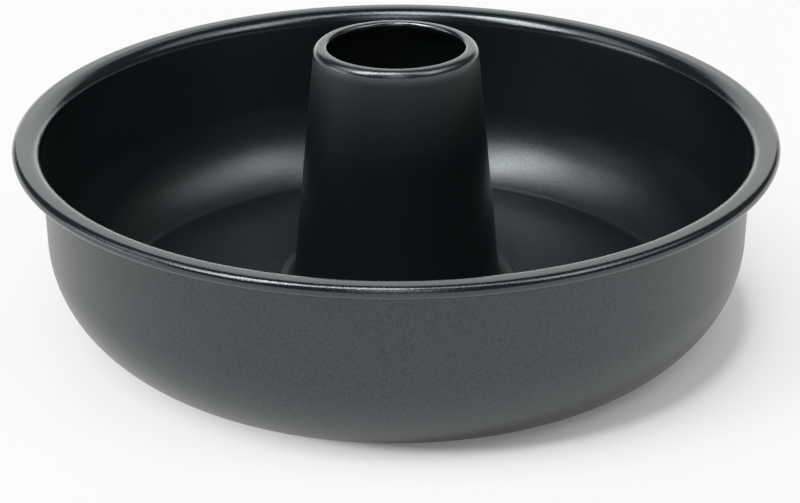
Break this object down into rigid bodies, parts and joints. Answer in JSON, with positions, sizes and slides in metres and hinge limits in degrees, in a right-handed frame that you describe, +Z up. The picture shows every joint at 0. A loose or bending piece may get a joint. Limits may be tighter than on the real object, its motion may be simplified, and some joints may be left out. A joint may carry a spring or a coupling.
{
  "type": "savarin mould",
  "caption": "Round ring mould with a rolled rim, an upright wall that curves into a flat base, and a tall tapered centre tube, in dark non-stick coated steel.",
  "frame": {"origin": "centre of the flat base, on the surface that the mould stands on", "axes": "+Z up along the centre tube, X and Y level; the mould is round about Z"},
  "size_m": [0.2598, 0.2598, 0.0951],
  "materials": {
    "coating": "satin dark grey non-stick coating on steel",
    "wire": "drawn steel wire"
  },
  "bodies": {
    "root": {"pan_body": "coating", "center_tube": "coating", "rim_wire": "wire"}
  },
  "joints": []
}
